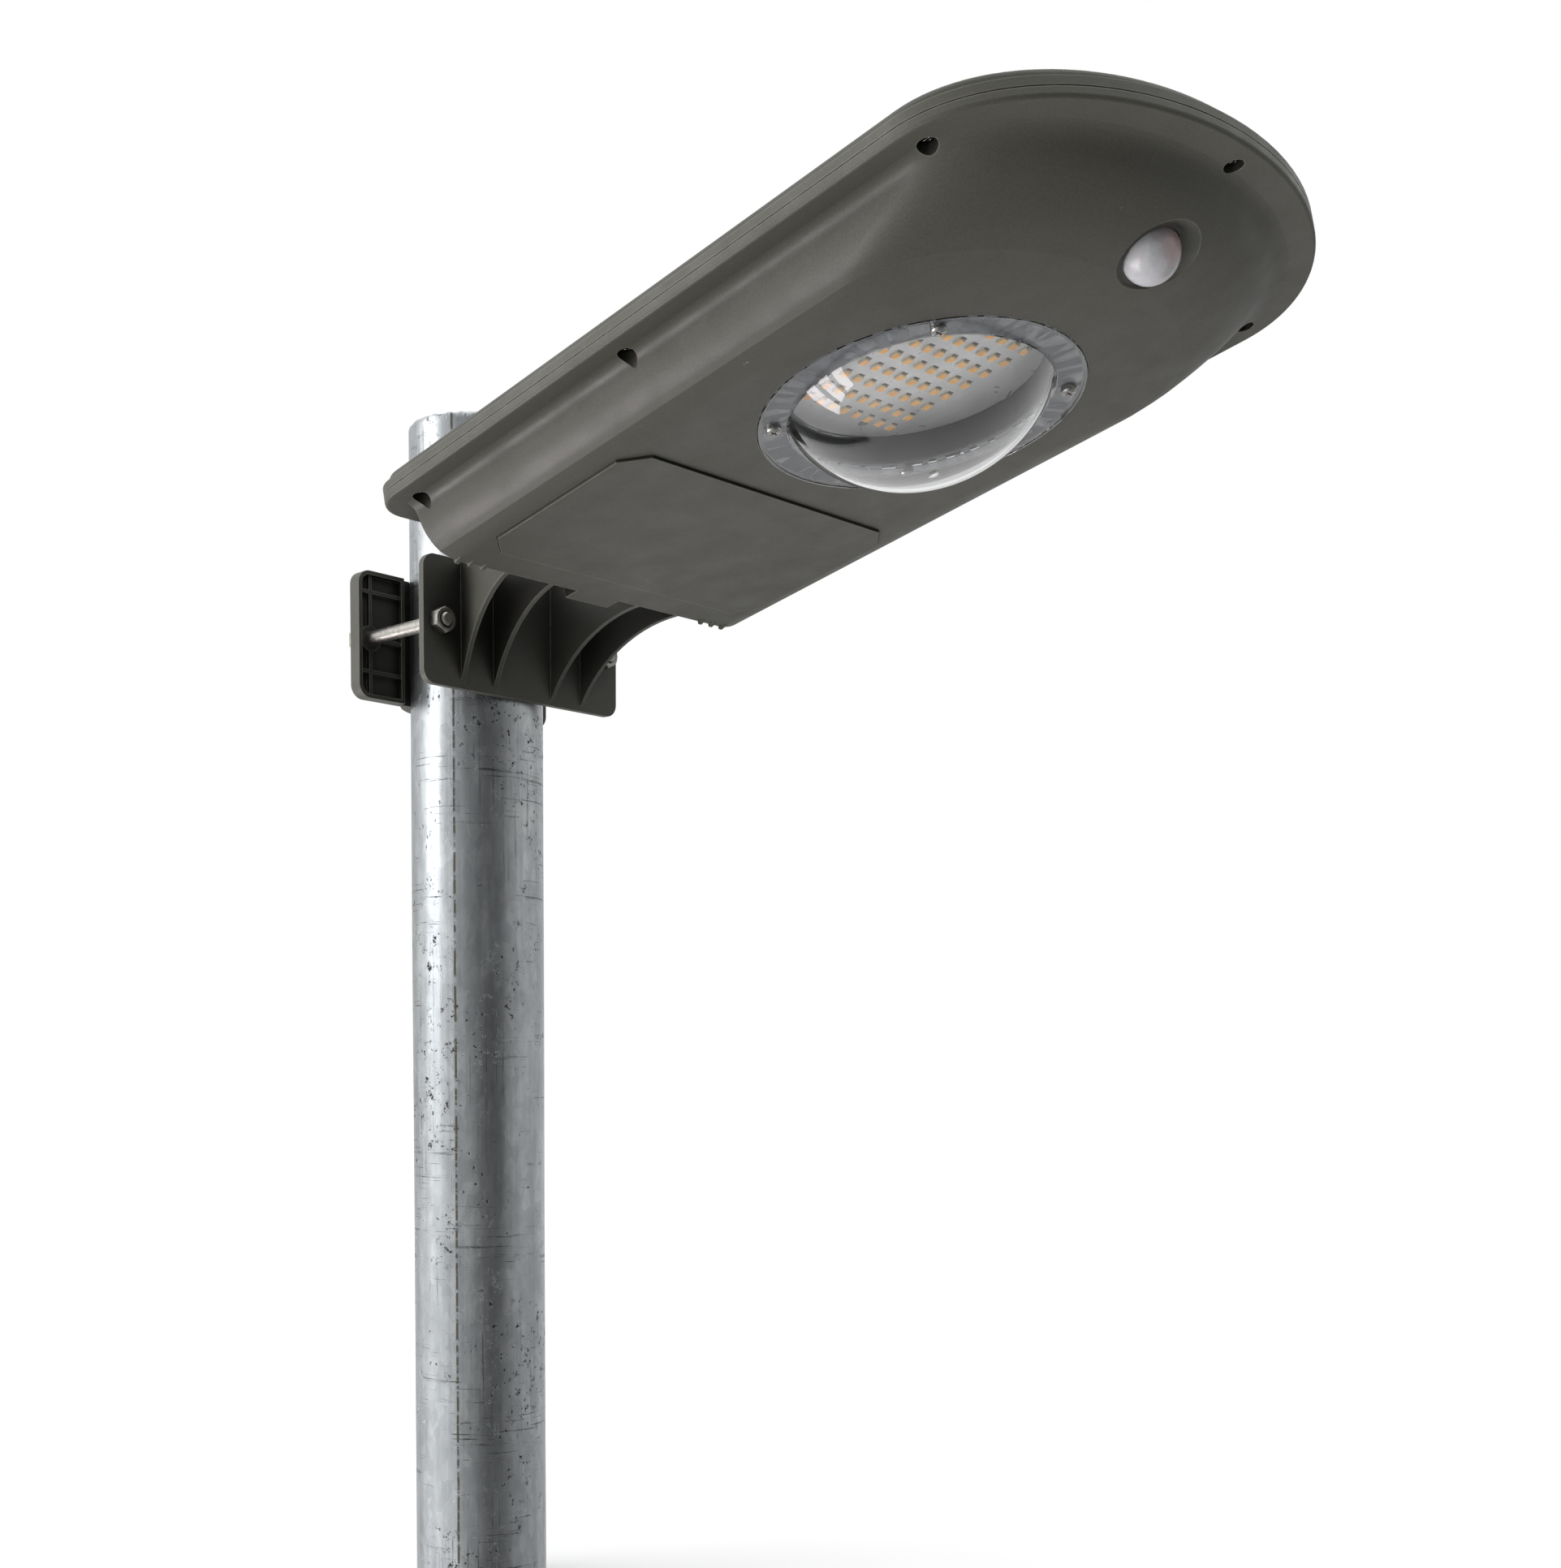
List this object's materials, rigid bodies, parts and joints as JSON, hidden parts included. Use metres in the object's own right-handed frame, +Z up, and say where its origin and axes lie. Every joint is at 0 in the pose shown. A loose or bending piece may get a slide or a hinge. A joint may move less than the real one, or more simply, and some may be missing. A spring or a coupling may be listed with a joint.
{
  "type": "solar street lamp",
  "caption": "All-in-one solar street lamp head with a domed light window, a motion sensor and a bolted clamp, on the top of a round steel pole.",
  "frame": {"origin": "centre of the pole's lower end, on the pole's axis", "axes": "+Z up along the pole, +X the way the lamp head points"},
  "size_m": [0.4293, 0.2126, 0.5411],
  "materials": {
    "zinc": "galvanised",
    "shell_plastic": "fine textured",
    "seal_rubber": "matt",
    "backsheet": "satin",
    "encapsulant": "clear over dark",
    "solar_cell": "satin",
    "panel_glass": "clear",
    "stainless": "bright",
    "clear_lens": "clear polished",
    "thermal_pad": "matt",
    "board_white": "solder mask",
    "led_body": "satin",
    "phosphor": "satin",
    "pir_plastic": "milky",
    "sensor_can": "nickel",
    "board_green": "solder mask",
    "black_plastic": "satin",
    "cell_sleeve": "shrink sleeve",
    "nickel": "plain",
    "connector_plastic": "satin",
    "ferrite": "sintered",
    "capacitor_can": "sleeved",
    "clamp_steel": "plain"
  },
  "bodies": {
    "pole": {"pole_tube": "zinc"},
    "head": {"lower_shell": "shell_plastic", "upper_cover": "shell_plastic", "rim_seal": "seal_rubber", "panel_backsheet": "backsheet", "panel_encapsulant": "encapsulant", "panel_cells": "solar_cell", "panel_glass": "panel_glass", "rim_screws": "stainless", "lens_dome": "clear_lens", "lens_seal": "seal_rubber", "lens_screws": "stainless", "led_thermal_pad": "thermal_pad", "led_board": "board_white", "led_packages": "led_body", "led_phosphor": "phosphor", "pir_lens": "pir_plastic", "pir_sensor": "sensor_can", "pir_board": "board_green", "pir_screws": "stainless", "battery_cradle": "black_plastic", "battery_cells": "cell_sleeve", "battery_strips": "nickel", "battery_strap": "black_plastic", "battery_screws": "stainless", "controller_board": "board_green", "controller_screws": "stainless", "controller_connectors": "connector_plastic", "controller_chips": "black_plastic", "controller_coil": "ferrite", "controller_capacitors": "capacitor_can"},
    "jaw": {"rear_jaw": "shell_plastic", "clamp_bolts": "clamp_steel"},
    "nut_left": {"clamp_nut_left": "clamp_steel"},
    "nut_right": {"clamp_nut_right": "clamp_steel"}
  },
  "joints": [
    {"name": "head_swivel", "type": "hinge", "parent": "pole", "child": "head", "pos_m": [0, 0, 0.443], "axis": [0, 0, 1], "continuous": true},
    {"name": "jaw_slide", "type": "slide", "parent": "head", "child": "jaw", "axis": [-1, 0, 0], "range_m": [0, 0.004]},
    {"name": "nut_left_turn", "type": "hinge", "parent": "head", "child": "nut_left", "pos_m": [0.036, -0.0471, 0.432], "axis": [1, 0, 0], "range_deg": [0, 1440]},
    {"name": "nut_right_turn", "type": "hinge", "parent": "head", "child": "nut_right", "pos_m": [0.036, 0.0471, 0.432], "axis": [1, 0, 0], "range_deg": [0, 1440]}
  ],
  "couplings": [
    {"joint": "nut_left_turn", "follows": "jaw_slide", "rad_per_m": 6283.2},
    {"joint": "nut_right_turn", "follows": "jaw_slide", "rad_per_m": 6283.2}
  ]
}
